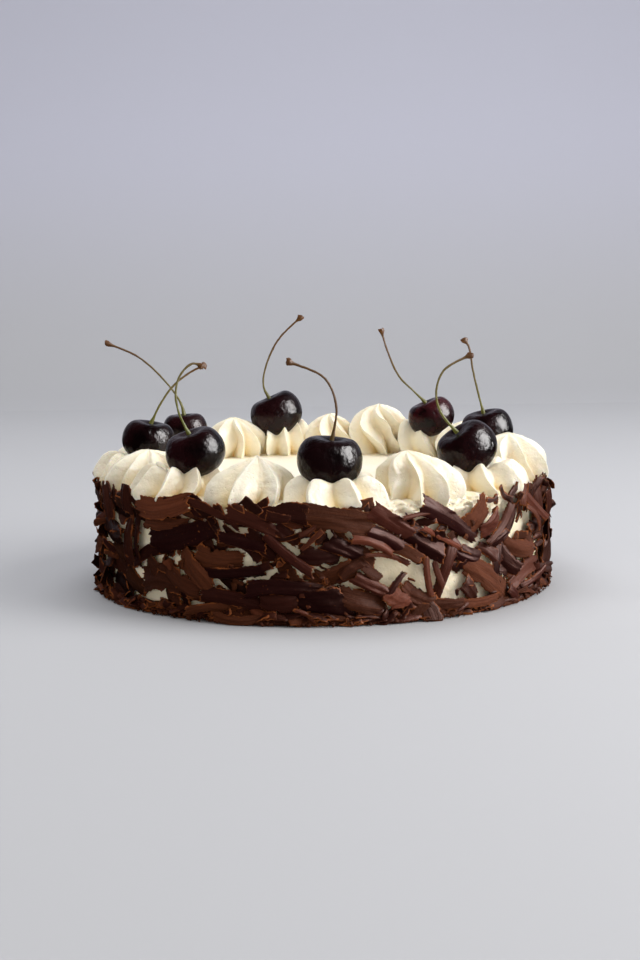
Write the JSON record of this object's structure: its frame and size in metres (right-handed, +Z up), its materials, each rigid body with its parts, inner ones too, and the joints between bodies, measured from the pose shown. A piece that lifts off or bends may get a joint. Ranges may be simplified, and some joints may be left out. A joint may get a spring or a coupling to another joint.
{
  "type": "black forest cake",
  "caption": "Round cake with a smooth cream coat, chocolate shavings round its side, a ring of piped cream rosettes on top and whole stalked cherries pressed into some of them.",
  "frame": {"origin": "centre of the cake's flat base", "axes": "+Z up through the cake's middle; +X to the right and -Y towards the viewer, as pictured"},
  "size_m": [0.2175, 0.2155, 0.1225],
  "materials": {
    "chocolate": "dark chocolate, semi-matt with some smooth faces",
    "cream": "soft satin whipped cream",
    "cherry": "glossy, nearly black dark red skin",
    "stalk": "dry brown to green stalk"
  },
  "bodies": {
    "root": {"cake": "chocolate", "rosette_01": "cream", "rosette_02": "cream", "rosette_03": "cream", "rosette_04": "cream", "rosette_05": "cream", "rosette_06": "cream", "rosette_07": "cream", "rosette_08": "cream", "rosette_09": "cream", "rosette_10": "cream", "rosette_11": "cream", "rosette_12": "cream", "rosette_13": "cream", "rosette_14": "cream", "rosette_15": "cream", "rosette_16": "cream", "rosette_17": "cream", "cherry_1": "cherry", "stalk_1": "stalk", "cherry_2": "cherry", "stalk_2": "stalk", "cherry_3": "cherry", "stalk_3": "stalk", "cherry_4": "cherry", "stalk_4": "stalk", "cherry_5": "cherry", "stalk_5": "stalk", "cherry_6": "cherry", "stalk_6": "stalk", "cherry_7": "cherry", "stalk_7": "stalk", "cherry_8": "cherry", "stalk_8": "stalk"}
  },
  "joints": []
}
